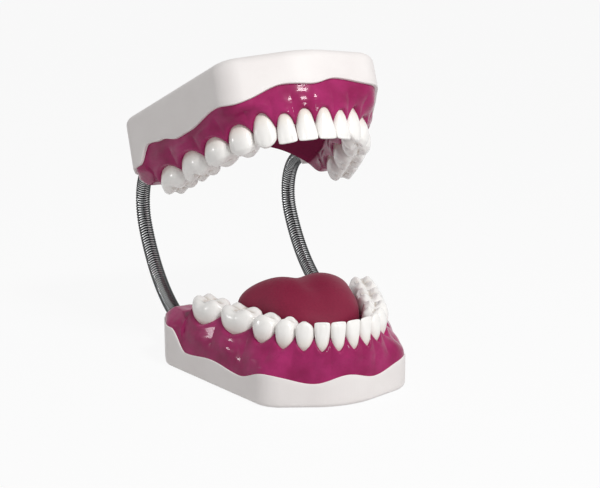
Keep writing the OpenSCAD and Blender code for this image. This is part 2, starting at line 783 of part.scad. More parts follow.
// Turned cup for the end of an arm, with its stud through the back wall
module socket(j, m) {
    stud_l = wall[j] + nut_h + nut_flange_t + stud_tail;
    color(chrome) seat(j) translate([m * arm_spacing / 2, base_d[j] / 2, arm_h[j]]) rotate([-90, 0, 0])
        rotate_extrude($fn = 64) polygon([
            [0, -stud_l],
            [stud_d / 2 - 0.6, -stud_l],
            [stud_d / 2, 0.6 - stud_l],
            [stud_d / 2, 0],
            [socket_od / 2, 0],
            [socket_od / 2, socket_l - 1],
            [socket_od / 2 - 1, socket_l],
            [arm_od / 2 + cup_fit, socket_l],
            [arm_od / 2 + cup_fit, socket_l - cup_depth],
            [0, socket_l - cup_depth]
        ]);
}

module arm_nuts(j) {
    color(steel) seat(j) at_arms(j) translate([0, -wall[j], 0]) rotate([90, 0, 0]) difference() {
        union() {
            cylinder(d = nut_flange_d, h = nut_flange_t, $fn = 64);
            cylinder(d = nut_af / cos(30), h = nut_flange_t + nut_h, $fn = 6);
        }
        translate([0, 0, -overcut])
            cylinder(d = stud_d + 2 * thread_fit, h = nut_flange_t + nut_h + 2 * overcut, $fn = 48);
    }
}

// Places of the two jaws
// The lower jaw stays as drawn. The upper one is turned over, shut on the lower one, and tipped
// open with the ends of the arms.
module seat(j) {
    if (j == 0) children();
    else open_up() translate([0, -overhang, closed_h]) mirror([0, 0, 1]) children();
}

module open_up() {
    e = arm_at(arm_l);
    translate([0, e[0], e[1]]) rotate([-open_angle, 0, 0])
        translate([0, -lower_base_d / 2, upper_arm_h - closed_h]) children();
}

base(0);  // lower_base
plate(0);  // lower_plate
plate_screws(0);  // lower_plate_screws
gum(0);  // lower_gum
tongue();
base(1);  // upper_base
plate(1);  // upper_plate
plate_screws(1);  // upper_plate_screws
gum(1);  // upper_gum
for (i = [0:6]) {
    tooth(0, -1, i);
    tooth(0, 1, i);
    tooth(1, -1, i);
    tooth(1, 1, i);
}
socket(0, -1);  // lower_left_socket
socket(0, 1);  // lower_right_socket
socket(1, -1);  // upper_left_socket
socket(1, 1);  // upper_right_socket
arm_nuts(0);  // lower_arm_nuts
arm_nuts(1);  // upper_arm_nuts
for (k = [1:4]) {
    arm(-1, k);
    arm(1, k);
}
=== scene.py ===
import math

import bmesh
import bpy
from mathutils import Matrix, Vector


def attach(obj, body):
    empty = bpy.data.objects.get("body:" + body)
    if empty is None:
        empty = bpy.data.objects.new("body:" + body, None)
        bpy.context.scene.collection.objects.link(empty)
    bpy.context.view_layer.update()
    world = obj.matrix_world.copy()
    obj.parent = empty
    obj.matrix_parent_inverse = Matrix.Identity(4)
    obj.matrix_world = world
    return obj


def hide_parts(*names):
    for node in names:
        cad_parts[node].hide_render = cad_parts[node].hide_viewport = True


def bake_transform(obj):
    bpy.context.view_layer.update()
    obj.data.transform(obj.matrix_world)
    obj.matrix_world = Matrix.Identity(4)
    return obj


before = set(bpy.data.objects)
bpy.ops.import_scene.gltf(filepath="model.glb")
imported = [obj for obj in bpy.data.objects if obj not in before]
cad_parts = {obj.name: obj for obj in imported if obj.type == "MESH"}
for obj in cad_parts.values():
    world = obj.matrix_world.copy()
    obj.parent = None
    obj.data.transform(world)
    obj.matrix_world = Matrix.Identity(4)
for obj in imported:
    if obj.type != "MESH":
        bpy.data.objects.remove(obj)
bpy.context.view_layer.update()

# Camera.
# It stands in front of the jaws and to their left, a little above the gap between them, and looks
# slightly down through a long lens.
MM = 0.001
AIM = Vector((0.0, 7.5, 96.4)) * MM
AZIMUTH, ELEVATION, DISTANCE = math.radians(-23.4), math.radians(13.7), 1056 * MM
towards_camera = Vector((
    math.sin(AZIMUTH) * math.cos(ELEVATION),
    -math.cos(AZIMUTH) * math.cos(ELEVATION),
    math.sin(ELEVATION),
))
camera_data = bpy.data.cameras.new("camera")
camera_data.lens = 87.5
camera_data.sensor_width = 36.0
camera = bpy.data.objects.new("camera", camera_data)
camera.location = AIM + towards_camera * DISTANCE
camera.rotation_euler = (-towards_camera).to_track_quat("-Z", "Y").to_euler()
bpy.context.scene.collection.objects.link(camera)
bpy.context.scene.camera = camera


# Base castings.
# Two hollow castings in off-white resin carry the jaws. Their walls rise to a wavy line where the gum
# is bedded in, their outer edge is rounded off, and a plate let into the underside closes them.
HEEL_FRONT = 22.0
NOSE_R, CORNER_R, HEEL_R, BACK_R = 60.0, 22.0, 14.0, 11.0
PLATE_RIM = 1.5
PLATE_T = 3.0
GUM_BACK = 4.0
WELD = 0.002
# Lengths are in millimetres; a piece is scaled to metres when it is seated
JAWS = {
    "lower": dict(
        base_w=174.0, base_d=161.0, corner_w=110.0, corner_back=22.0, back_w=162.0, base_h=34.0,
        edge_r=3.5, ledge=0.8, bed=24.0,
        line=(22.5, 17.6, 23.8, 16.2, 19.0, 15.9, 31.0, 33.0),
        line_at=(0, 0.13, 0.29, 0.43, 0.6, 0.77, 0.87, 1),
        arch_w=59.0, arch_d=85.0, arch_turn=61.0, front=6.4, floor_back=18.0,
    ),
    "upper": dict(
        base_w=187.0, base_d=168.0, corner_w=118.0, corner_back=17.0, back_w=170.0, base_h=42.0,
        edge_r=7.0, ledge=2.4, bed=20.0,
        line=(26.2, 24.5, 33.5, 31.0, 36.0, 36.3, 31.2, 28.8, 40.5, 41.0),
        line_at=(0, 0.1, 0.26, 0.35, 0.515, 0.59, 0.7, 0.79, 0.87, 1),
        right_at=(0, 0.1, 0.26, 0.4, 1), right_rise=(0.0, 2.2, 8.0, 0.0, 0.0),
        arch_w=67.5, arch_d=85.0, arch_turn=70.5, front=6.4, floor_back=4.0,
    ),
}
# A jaw is drawn base down. The upper one is turned over, tipped and hung on the ends of the arms.
ARM_END = Vector((0.0, 134.308, 143.547))
ARM_BELOW_TOP = 27.6
OPEN_ANGLE = math.radians(-25.5)
JAWS["lower"]["seat"] = Matrix.Scale(MM, 4)
JAWS["upper"]["seat"] = (
    Matrix.Scale(MM, 4)
    @ Matrix.Translation(ARM_END)
    @ Matrix.Rotation(OPEN_ANGLE, 4, "X")
    @ Matrix.Translation((0, -JAWS["upper"]["base_d"] / 2, ARM_BELOW_TOP))
    @ Matrix.Diagonal((1, 1, -1, 1))
)


def ease(t):
    """Step from 0 to 1 that starts and ends level."""
    t = min(1.0, max(0.0, t))
    return (1 - math.cos(math.pi * t)) / 2


def through(places, values, v):
    """Smooth curve through the values at the given places."""
    i = max([k for k in range(len(places) - 1) if places[k] <= v] or [0])
    return values[i] + (values[i + 1] - values[i]) * ease((v - places[i]) / (places[i + 1] - places[i]))


CORNER_STEPS = 8


def rounded_outline(jaw):
    """Outline of a base as drawn from above, with its upright corners rounded."""
    half_w, half_d = jaw["base_w"] / 2, jaw["base_d"] / 2
    right = [
        Vector((jaw["corner_w"] / 2, jaw["corner_back"] - half_d)),
        Vector((half_w, half_d - HEEL_FRONT)),
        Vector((jaw["back_w"] / 2, half_d)),
    ]
    corners = [Vector((0, -half_d))] + right + [Vector((-p.x, p.y)) for p in reversed(right)]
    radii = (NOSE_R, CORNER_R, HEEL_R, BACK_R, BACK_R, HEEL_R, CORNER_R)
    points = []
    for i, (corner, r) in enumerate(zip(corners, radii)):
        u = (corners[i - 1] - corner).normalized()
        v = (corners[(i + 1) % len(corners)] - corner).normalized()
        half = math.acos(u.dot(v)) / 2
        middle = corner + (u + v).normalized() * r / math.sin(half)
        outward = -(u + v).normalized()
        start = math.atan2(outward.y, outward.x)
        for k in range(-CORNER_STEPS, CORNER_STEPS + 1):
            q = start + (math.pi / 2 - half) * k / CORNER_STEPS
            points.append(middle + r * Vector((math.cos(q), math.sin(q))))
    return points


ARCH_STEPS = 40


def set_out_arch(jaw):
    """The arch of teeth: an oval in front, then a tail that flares out and turns straight back."""
    w, d, turn = jaw["arch_w"], jaw["arch_d"], math.radians(jaw["arch_turn"])
    jaw["arch_front"] = jaw["front"] - jaw["base_d"] / 2
    # Length along the oval, against the angle round it
    table, length, step = [], 0.0, turn / ARCH_STEPS
    for i in range(ARCH_STEPS + 1):
        table.append((length, i * step))
        a = (i + 0.5) * step
        length += Vector((w * math.cos(a), d * math.sin(a))).length * step
    jaw["arch_table"] = table
    jaw["flare"] = w / d / math.tan(turn)
    jaw["tail_l"] = jaw["base_d"] / 2 - GUM_BACK - jaw["arch_front"] - d * (1 - math.cos(turn))
    jaw["half_l"] = table[-1][0] + jaw["tail_l"]


def arch(jaw, s):
    """Point on the arch at length s from the midline, and the way out to the lips; left is negative."""
    table, w, d = jaw["arch_table"], jaw["arch_w"], jaw["arch_d"]
    step = max(i for i in range(len(table) - 1) if table[i][0] <= abs(s))
    (s0, t0), (s1, t1) = table[step], table[step + 1]
    t = t0 + (t1 - t0) * min(1.0, (abs(s) - s0) / (s1 - s0))
    past = max(0.0, abs(s) - table[-1][0])
    share = past / jaw["tail_l"]
    out = Vector((math.sin(t) / w, -math.cos(t) / d)).normalized()
    if past:
        out = Vector((1, -jaw["flare"] * (1 - share ** 2))).normalized()
    x = w * math.sin(t) + jaw["flare"] * past * (1 - share ** 2 / 3)
    y = jaw["arch_front"] + d * (1 - math.cos(t)) + past
    side = -1 if s < 0 else 1
    return Vector((side * x, y)), Vector((side * out.x, out.y))


# How far inside the arch the search for the wall begins
PROBE = 12.0
PARALLEL = 1e-9
SLACK = 1e-6


def lip_reach(jaw, s):
    """Distance from the arch out to the wall of the base."""
    point, out = arch(jaw, s)
    start = point - out * PROBE
    found = []
    for a, b in zip(jaw["outline"], jaw["outline"][1:] + jaw["outline"][:1]):
        edge, away = b - a, a - start
        den = out.x * edge.y - out.y * edge.x
        if abs(den) > PARALLEL:
            t = (away.x * edge.y - away.y * edge.x) / den
            r = (away.x * out.y - away.y * out.x) / den
            if t > 0 and -SLACK < r < 1 + SLACK:
                found.append(t)
    return min(found) - PROBE


def gum_line(jaw, s):
    """Height of the line where the gum meets the base; it was laid by hand and differs on the right."""
    share = abs(s) / jaw["half_l"]
    height = through(jaw["line_at"], jaw["line"], share)
    if s > 0 and "right_at" in jaw:
        height -= through(jaw["right_at"], jaw["right_rise"], share)
    return height


for jaw in JAWS.values():
    jaw["outline"] = rounded_outline(jaw)
    set_out_arch(jaw)


def draw_sheet(columns, rows, place):
    """Square mesh of columns by rows, each corner of it moved to its place."""
    bm = bmesh.new()
    bmesh.ops.create_grid(bm, x_segments=columns, y_segments=rows, size=1.0)
    for v in bm.verts:
        v.co = place(round((v.co.x + 1) / 2 * columns), round((v.co.y + 1) / 2 * rows))
    return bm


def finish_piece(name, bm, seat, material):
    """Closes the seams, seats the piece in the object's frame and gives it its finish."""
    bmesh.ops.remove_doubles(bm, verts=bm.verts, dist=WELD)
    bmesh.ops.transform(bm, matrix=seat, verts=bm.verts)
    bmesh.ops.recalc_face_normals(bm, faces=bm.faces)
    mesh = bpy.data.meshes.new(name)
    bm.to_mesh(mesh)
    bm.free()
    mesh.materials.append(material)
    mesh.polygons.foreach_set("use_smooth", [True] * len(mesh.polygons))
    piece = bpy.data.objects.new(name, mesh)
    bpy.context.scene.collection.objects.link(piece)
    return piece


def colour(code):
    """An sRGB hex colour as the linear one that Blender works in."""
    parts = [int(code[i:i + 2], 16) / 255 for i in (1, 3, 5)]
    return tuple(c / 12.92 if c <= 0.04045 else ((c + 0.055) / 1.055) ** 2.4 for c in parts) + (1.0,)


def add_node(tree, kind, sockets, **settings):
    """Adds a node; a socket is given a value or the output that feeds it."""
    node = tree.nodes.new(kind)
    for name, value in settings.items():
        setattr(node, name, value)
    for name, value in sockets.items():
        if isinstance(value, bpy.types.NodeSocket):
            tree.links.new(value, node.inputs[name])
        else:
            node.inputs[name].default_value = value
    return node


def new_material(name):
    """An empty material, its nodes, and the place on the object that patterns go by."""
    material = bpy.data.materials.new(name)
    material.use_nodes = True
    tree = material.node_tree
    tree.nodes.clear()
    place = add_node(tree, "ShaderNodeTexCoord", {}).outputs["Object"]
    return material, tree, place


def show(tree, shader):
    """Makes the shader the material's look."""
    add_node(tree, "ShaderNodeOutputMaterial", {"Surface": shader.outputs[0]})


# Cast resin: matt, faintly mottled where the pigment settled, with a skin of fine pores and a soft
# waviness from the mould.
cast_resin, tree, place = new_material("cast_resin")
mottle = add_node(tree, "ShaderNodeTexNoise", {"Vector": place, "Scale": 1 / (28 * MM), "Detail": 4.0})
tint = add_node(tree, "ShaderNodeMixRGB", {
    "Fac": mottle.outputs["Fac"], "Color1": colour("#e4dedc"), "Color2": colour("#f1edeb")})
pores = add_node(tree, "ShaderNodeTexNoise", {"Vector": place, "Scale": 1 / (1.1 * MM), "Detail": 3.0})
waves = add_node(tree, "ShaderNodeTexNoise", {"Vector": place, "Scale": 1 / (22 * MM), "Detail": 1.0})
skin = add_node(tree, "ShaderNodeBump", {
    "Height": pores.outputs["Fac"], "Strength": 0.16, "Distance": 0.25 * MM})
skin = add_node(tree, "ShaderNodeBump", {
    "Height": waves.outputs["Fac"], "Strength": 0.2, "Distance": 1.2 * MM, "Normal": skin.outputs[0]})
gloss = add_node(tree, "ShaderNodeMapRange", {
    "Value": mottle.outputs["Fac"], "To Min": 0.46, "To Max": 0.62})
show(tree, add_node(tree, "ShaderNodeBsdfPrincipled", {
    "Base Color": tint.outputs[0], "Roughness": gloss.outputs[0], "Normal": skin.outputs[0],
    "IOR": 1.48}))

# Steps round the front and sides, across the back, and from the end of the gum up to the back wall
SIDE_STEPS, BACK_STEPS, HEEL_STEPS = 230, 210, 24
# The upper back wall is cut out for the palate; the lower one carries a broad bar between the heels
PALATE_END, PALATE_EDGE = 53.5, 1.6
BAR_END, BAR_EDGE = 52.0, 8.0
TOP_ROUND = 0.6
GUM_LIP_T, BACK_LIP_T, LIP_DEPTH, LIP_BEVEL = 3.0, 6.0, 8.0, 0.5
NEAREST = 0.05
PLATE_LEDGE, SEAT_BEVEL = 2.0, 0.3
for jaw_name, jaw in JAWS.items():
    half_l = jaw["half_l"]
    rim, heights, insets = [], [], []
    # Round the front and the sides, one place for each place along the arch
    for k in range(-SIDE_STEPS, SIDE_STEPS + 1):
        s = half_l * k / SIDE_STEPS
        point, out = arch(jaw, s)
        rim.append(point + out * lip_reach(jaw, s))
        heights.append(gum_line(jaw, s))
        insets.append(jaw["ledge"] + GUM_LIP_T)
    # Across the back, behind the ends of the gum
    behind = sorted((p for p in jaw["outline"] if p.y > rim[-1].y + NEAREST), key=lambda p: -p.x)
    path = [rim[-1]] + behind + [rim[0]]
    lengths = [0.0]
    for a, b in zip(path, path[1:]):
        lengths.append(lengths[-1] + (b - a).length)
    for k in range(1, BACK_STEPS):
        at = lengths[-1] * k / BACK_STEPS
        i = max(n for n in range(len(path) - 1) if lengths[n] <= at)
        point = path[i].lerp(path[i + 1], (at - lengths[i]) / (lengths[i + 1] - lengths[i]))
        rim.append(point)
        climb = ease(min(k, BACK_STEPS - k) / HEEL_STEPS)
        height = jaw["line"][-1] + (jaw["base_h"] - jaw["line"][-1]) * climb
        inset = BACK_LIP_T
        if jaw_name == "upper":
            height += (jaw["bed"] - height) * ease((PALATE_END - abs(point.x)) / PALATE_EDGE)
        else:
            inset += (jaw["floor_back"] - inset) * ease((BAR_END - abs(point.x)) / BAR_EDGE)
        heights.append(height)
        insets.append(inset)
    count = len(rim)
    inward = []
    for k in range(count):
        along = (rim[(k + 1) % count] - rim[k - 1]).normalized()
        inward.append(Vector((-along.y, along.x)))

    edge_r, plate_in = jaw["edge_r"], jaw["edge_r"] + PLATE_RIM

    def wall_section(k):
        """From the seat of the plate, out round the edge, up the wall and in under the gum."""
        top = heights[k]
        section = [(plate_in + PLATE_LEDGE, PLATE_T), (plate_in, PLATE_T), (plate_in, SEAT_BEVEL)]
        section += [(plate_in - SEAT_BEVEL, 0.0), (edge_r, 0.0)]
        for q in range(15, 91, 15):
            a = math.radians(q)
            section.append((edge_r * (1 - math.sin(a)), edge_r * (1 - math.cos(a))))
        for f in (0.2, 0.4, 0.6, 0.8, 1.0):
            section.append((0.0, edge_r + f * (top - TOP_ROUND - edge_r)))
        for q in (30, 60, 90):
            a = math.radians(q)
            section.append((TOP_ROUND * (1 - math.cos(a)), top - TOP_ROUND * (1 - math.sin(a))))
        back = insets[k]
        return section + [(back - LIP_BEVEL, top), (back, top - LIP_BEVEL), (back, top - LIP_DEPTH)]

    sections = [wall_section(k) for k in range(count)]
    rows = len(sections[0])

    def casting_place(column, row):
        """Columns run round the rim, and rows along the section of the wall."""
        inset, z = sections[column % count][row % rows]
        p = rim[column % count] + inward[column % count] * inset
        return Vector((p.x, p.y, z))

    base = finish_piece(f"{jaw_name}_casting", draw_sheet(count, rows, casting_place),
                        jaw["seat"], cast_resin)
    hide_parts(f"{jaw_name}_base")
    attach(base, f"{jaw_name}_jaw")
    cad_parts[f"{jaw_name}_plate"].data.materials.clear()
    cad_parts[f"{jaw_name}_plate"].data.materials.append(cast_resin)


# Gums.
# Pigmented acrylic, poured over the bases and polished wet-looking. It swells over each root, rises
# to a point between two teeth, and floors the mouth below and vaults the palate above.
TONGUE_SIDE_T = 4.0
FLOOR_T = 4.0
VAULT_RUN = 52.0
ROOT_SWELL = 1.6
BITE_SLOPE = math.tan(math.radians(1.0))
JAWS["lower"].update(
    vault=0.0, bite_h=60.4, bite_way=-1, scallop=1.5,
    tooth_w=(11.8, 11.9, 14.2, 17.0, 22.0, 33.2, 34.0),
    tooth_d=(13.0, 13.5, 15.5, 16.5, 18.0, 20.5, 20.5),
    crown_h=(21.0, 21.0, 21.0, 21.0, 20.0, 19.5, 19.5),
)
JAWS["upper"].update(
    vault=19.0, bite_h=65.2, bite_way=1, scallop=2.2,
    tooth_w=(15.4, 14.5, 18.0, 22.7, 28.4, 31.0, 33.0),
    tooth_d=(15.5, 15.0, 17.5, 19.0, 20.0, 22.5, 22.5),
    crown_h=(23.0, 21.5, 25.0, 22.0, 20.5, 20.0, 19.0),
)
for jaw in JAWS.values():
    widths = jaw["tooth_w"]
    jaw["tooth_end"] = [sum(widths[:i + 1]) for i in range(len(widths))]
    jaw["tooth_mid"] = [end - w / 2 for end, w in zip(jaw["tooth_end"], widths)]


def bite(jaw, y):
    """Height of the biting edges at depth y."""
    return jaw["bite_h"] + jaw["bite_way"] * BITE_SLOPE * (y - jaw["arch_front"])


def between_teeth(jaw, s):
    """1 between two teeth, 0 over the middle of one."""
    a = abs(s)
    for end, width in zip(jaw["tooth_end"], jaw["tooth_w"]):
        if a <= end:
            return abs(2 * (end - a) / width - 1)
    return 0.0


def between_marks(marks, i, t):
    """Rounded line through the marks, at share t of the way from mark i to the next."""
    p0, p1 = marks[max(0, i - 1)], marks[i]
    p2, p3 = marks[i + 1], marks[min(len(marks) - 1, i + 2)]
    return 0.5 * (2 * p1 + (p2 - p0) * t + (2 * p0 - 5 * p1 + 4 * p2 - p3) * t ** 2
                  + (3 * p1 - p0 - 3 * p2 + p3) * t ** 3)


RUGA_PITCH, RUGA_H, RUGA_SLANT = 8.5, 1.1, 0.4
SEAM_H, SEAM_W = 0.5, 1.6
# Fades as (start, length): ridges and seam from front to back, and ridges out from the seam
RUGAE_IN, RUGAE_OUT, SEAM_IN = (6.0, 8.0), (46.0, 10.0), (4.0, 6.0)
RUGAE_SIDE = (2.0, 5.0)


def rugae(x, y, front):
    """Low ridges that cross the front of the palate on both sides of its seam."""
    back = y - front
    fade = ease((back - RUGAE_IN[0]) / RUGAE_IN[1]) * ease((RUGAE_OUT[0] - back) / RUGAE_OUT[1])
    fade *= ease((abs(x) - RUGAE_SIDE[0]) / RUGAE_SIDE[1])
    ridge = max(0.0, math.cos(2 * math.pi * (y + RUGA_SLANT * abs(x)) / RUGA_PITCH)) ** 1.5
    seam = math.exp(-(x / SEAM_W) ** 2) * ease((back - SEAM_IN[0]) / SEAM_IN[1])
    return RUGA_H * fade * ridge + SEAM_H * seam


# Share of a crown that the gum climbs between two teeth, and how deep it draws in there
PAPILLA, INNER_PAPILLA = 0.4, 0.6
DRAW_IN, DRAW_IN_SHARE = 2.2, 0.1
# Behind the last tooth the gum rises a little and its top grows narrow; it ends in a round heel
BEHIND_RUN, BEHIND_RISE, BEHIND_NARROW, HEEL_ROUND = 12.0, 3.0, 4.0, 9.0
FOOT = 1.6
HEEL_CLIMB, HEEL_CLIMB_RUN, HEEL_SINK = 50.4, 18.0, 3.0
# The roots of the front teeth swell by a share of ROOT_SWELL, which grows along the arch to the whole
FRONT_SWELL, SWELL_AT, SWELL_RUN = 0.4, 20.0, 25.0
SLANT_H, WALL_STEP = 5.0, 0.5
# The palate rises in an arch across the mouth and from front to back; the floor climbs to the back bar
VAULT_ACROSS, VAULT_ALONG = 2.4, 1.6
BAR_CLIMB, BAR_FIT = 9.0, 1.2
RIDGE_STEPS = 6


def gum_section(jaw, s, palate_steps):
    """From the edge on the base, up the lip side, over the ridge and in to the middle of the jaw."""
    point, out = arch(jaw, s)
    half_l, last = jaw["half_l"], jaw["tooth_end"][-1]
    d = through(jaw["tooth_mid"], jaw["tooth_d"], abs(s))
    crown = through(jaw["tooth_mid"], jaw["crown_h"], abs(s))
    behind = min(1.0, max(0.0, (abs(s) - last) / BEHIND_RUN))
    # Pointed between the teeth on the lip side, rounded on the tongue side
    gap = between_teeth(jaw, s) ** jaw["scallop"] * (1 - behind)
    hollow = INNER_PAPILLA * ease(between_teeth(jaw, s)) * (1 - behind)
    neck = bite(jaw, point.y) - crown
    top = neck + gap * PAPILLA * crown + behind * BEHIND_RISE
    inner_top = neck + hollow * PAPILLA * crown + behind * BEHIND_RISE
    draw_in = DRAW_IN + DRAW_IN_SHARE * d
    edge = lip_reach(jaw, s) - jaw["ledge"]
    low = gum_line(jaw, s)
    grown = FRONT_SWELL + (1 - FRONT_SWELL) * ease((abs(s) - SWELL_AT) / SWELL_RUN)
    swell = ROOT_SWELL * grown * (1 - 1.4 * gap) * (1 - behind)
    inner = -d - TONGUE_SIDE_T
    back_top = jaw["base_d"] / 2 - jaw["floor_back"]
    climb = ease((point.y - jaw["base_d"] / 2 + HEEL_CLIMB) / HEEL_CLIMB_RUN)
    under = jaw["bed"] + (jaw["base_h"] - jaw["bed"]) * climb
    slant = min(SLANT_H, (neck - under) / 2)
    wall_z = min(jaw["bed"] + FLOOR_T + jaw["vault"], neck - slant - WALL_STEP)
    wall_z = max(under + WALL_STEP, wall_z)
    rise, lean = neck - low, edge - FOOT
    # Each mark: distance out from the arch, and height
    marks = [
        (edge - 0.2, low - 0.9),
        (edge, low),
        (edge - 0.1 * lean, low + 0.3 * rise),
        (edge - 0.4 * lean + 0.8 * swell, low + 0.58 * rise),
        (edge - 0.76 * lean + 0.6 * swell, low + 0.82 * rise),
        (1.2 - gap * draw_in - behind * BEHIND_NARROW, top),
        (-d / 2, top + 0.4),
        (-d - 1.2 + hollow * draw_in + behind * BEHIND_NARROW, inner_top),
        (-d - 0.6 * TONGUE_SIDE_T, neck - slant),
        (inner, wall_z),
    ]
    # The ridge comes down in a round heel at its back end
    heel = math.sqrt(max(0.0, 1 - (1 - min(1.0, (half_l - abs(s)) / HEEL_ROUND)) ** 2))
    marks = [Vector((o, low + (z - low) * heel if z > low else z)) for o, z in marks]
    run = [between_marks(marks, i, k / RIDGE_STEPS)
           for i in range(len(marks) - 1) for k in range(RIDGE_STEPS)] + [marks[-1]]
    ridge = [Vector((point.x + out.x * p.x, point.y + out.y * p.x, p.y)) for p in run]
    # Floor or palate, from the ridge in to the middle
    lip = ridge[-1]
    front = jaw["arch_front"] + jaw["tooth_d"][0] + TONGUE_SIDE_T
    floor = []
    for k in range(1, palate_steps + 1):
        share = 1 - k / palate_steps
        x, y = lip.x * share, lip.y
        if y > back_top:
            floor.append(Vector((lip.x, y, lip.z - HEEL_SINK * min(1.0, 4 * k / palate_steps))))
            continue
        drop = jaw["bed"] + FLOOR_T - lip.z
        if jaw["vault"]:
            along = 1 - max(0.0, 1 - (y - front) / VAULT_RUN) ** VAULT_ALONG
            z = lip.z + drop * ((1 - share ** VAULT_ACROSS) * along)
            z += rugae(x, y, front) * ease(5 * (1 - share))
        else:
            z = lip.z + drop * ease(6 * (1 - share))
            to_bar = ease((y - back_top + BAR_CLIMB) / BAR_CLIMB) * ease(4 * (1 - share))
            z += (jaw["base_h"] - BAR_FIT - z) * to_bar
        floor.append(Vector((x, y, z)))
    return ridge + floor


# Polished acrylic: deep rose, and a clear wet gloss whose highlights break up on fine stippling. The
# floor and the palate are darkened by painted shade and, as no buff reaches them, left satin.
gum_acrylic, tree, place = new_material("gum_acrylic")
clouds = add_node(tree, "ShaderNodeTexNoise", {"Vector": place, "Scale": 1 / (17 * MM), "Detail": 5.0})
spread = add_node(tree, "ShaderNodeMapRange", {
    "Value": clouds.outputs["Fac"], "From Min": 0.32, "From Max": 0.68})
flesh = add_node(tree, "ShaderNodeMixRGB", {
    "Fac": spread.outputs[0], "Color1": colour("#8d1a50"), "Color2": colour("#a72a67")})
fibres = add_node(tree, "ShaderNodeTexNoise", {
    "Vector": place, "Scale": 1 / (2.6 * MM), "Detail": 4.0, "Distortion": 1.2})
veins = add_node(tree, "ShaderNodeMapRange", {
    "Value": fibres.outputs["Fac"], "From Min": 0.55, "From Max": 0.8, "To Max": 0.35})
flesh = add_node(tree, "ShaderNodeMixRGB", {
    "Fac": veins.outputs[0], "Color1": flesh.outputs[0], "Color2": colour("#74143f")})
# Painted shade: this mask darkens the floor and the palate, and the same mask leaves them satin
painted_shade_and_satin = add_node(tree, "ShaderNodeAttribute", {}, attribute_name="painted_shade_and_satin").outputs["Fac"]
flesh = add_node(tree, "ShaderNodeMixRGB", {
    "Fac": painted_shade_and_satin, "Color1": flesh.outputs[0], "Color2": colour("#822449")})
shine = add_node(tree, "ShaderNodeMapRange", {"Value": painted_shade_and_satin, "To Min": 0.08, "To Max": 0.0})
polish = add_node(tree, "ShaderNodeMapRange", {"Value": painted_shade_and_satin, "To Min": 0.3, "To Max": 0.02})
stipple = add_node(tree, "ShaderNodeTexNoise", {
    "Vector": place, "Scale": 1 / (2.2 * MM), "Detail": 2.0})
swells = add_node(tree, "ShaderNodeTexNoise", {"Vector": place, "Scale": 1 / (9 * MM), "Detail": 1.0})
wet = add_node(tree, "ShaderNodeBump", {
    "Height": stipple.outputs["Fac"], "Strength": 0.06, "Distance": 0.4 * MM})
wet = add_node(tree, "ShaderNodeBump", {
    "Height": swells.outputs["Fac"], "Strength": 0.4, "Distance": 1.4 * MM, "Normal": wet.outputs[0]})
show(tree, add_node(tree, "ShaderNodeBsdfPrincipled", {
    "Base Color": flesh.outputs[0], "Roughness": 0.26, "Normal": wet.outputs[0], "IOR": 1.45,
    "Specular IOR Level": shine.outputs[0], "Coat Weight": polish.outputs[0], "Coat Roughness": 0.06,
    "Coat IOR": 1.4}))

GUM_STEPS = 300
PALATE_STEPS = 26
SHADE_AND_SATIN_FADE = 8
SKIRT_DROP = 4.0
for jaw_name, jaw in JAWS.items():
    sections = [gum_section(jaw, jaw["half_l"] * k / GUM_STEPS, PALATE_STEPS)
                for k in range(-GUM_STEPS, GUM_STEPS + 1)]
    rows = len(sections[0]) - 1
    bm = bmesh.new()
    bmesh.ops.create_grid(bm, x_segments=2 * GUM_STEPS, y_segments=rows, size=1.0)
    # Mask for the painted shade and satin: it fades in down the tongue side and is whole on floor and
    # palate
    painted_shade_and_satin_layer = bm.verts.layers.float.new("painted_shade_and_satin")
    for v in bm.verts:
        row = round((v.co.y + 1) / 2 * rows)
        v[painted_shade_and_satin_layer] = ease((row - rows + PALATE_STEPS + SHADE_AND_SATIN_FADE) / SHADE_AND_SATIN_FADE)
        v.co = sections[round((v.co.x + 1) * GUM_STEPS)][row]
    bmesh.ops.remove_doubles(bm, verts=bm.verts, dist=WELD)
    # Close it with a skirt down into the base and a flat underside
    rim_edges = [e for e in bm.edges if e.is_boundary]
    skirt = bmesh.ops.extrude_edge_only(bm, edges=rim_edges)["geom"]
    for v in skirt:
        if isinstance(v, bmesh.types.BMVert):
            v.co.z = min(jaw["line"]) - SKIRT_DROP
    bmesh.ops.holes_fill(bm, edges=[e for e in bm.edges if e.is_boundary], sides=0)
    gum = finish_piece(f"{jaw_name}_gums", bm, jaw["seat"], gum_acrylic)
    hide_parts(f"{jaw_name}_gum")
    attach(gum, f"{jaw_name}_jaw")


# Teeth.
# Hard resin teeth, moulded one by one and pegged into the gum. Front teeth end in an edge, canines in
# a point, and the back teeth in cusps round a hollow with fissures across it.
TOOTH_PEG = 9.0
TOOTH_GAP = 0.3
# A front tooth's biting edge falls and rounds off a little from its middle
EDGE_FALL, EDGE_ROUND, EDGE_MEET, EDGE_FROM = 0.35, 0.5, 1.7, 0.86
# A back tooth's cusps stand round a hollow, whose depth is a share of the crown's height
CUSP_H, CUSP_ROUND, CUSP_FROM, CUSP_ROOT = 2.6, 0.5, 0.15, 0.62
HOLLOW_DEPTH, HOLLOW_SPREAD = 0.17, 0.86
FISSURE_D, FISSURE_W = 0.8, 0.1
FISSURES = {2: (0, math.pi), 4: (0, math.pi / 2, math.pi, -math.pi / 2)}
# Of the way down a tooth this share is crown, and the rest is a peg that tapers and rounds off
CROWN_RUN = 0.8
PEG_TAPER, PEG_DRAW, PEG_ROUND, PEG_END = 0.32, 0.2, 0.7, 0.9
# Side grooves of the molars and flutes of the front teeth, as shares of the tooth's depth and width
SIDE_GROOVE_D, SIDE_GROOVE_W = 0.055, 0.075
FLUTE_D, FLUTE_AT, FLUTE_W = 0.02, 0.17, 0.07
# Below 1 this makes a tooth squarer than an oval as seen from its top
PLAN_POWER = 0.8
TOOTH_NAMES = ("central", "lateral", "canine", "premolar_1", "premolar_2", "molar_1", "molar_2")
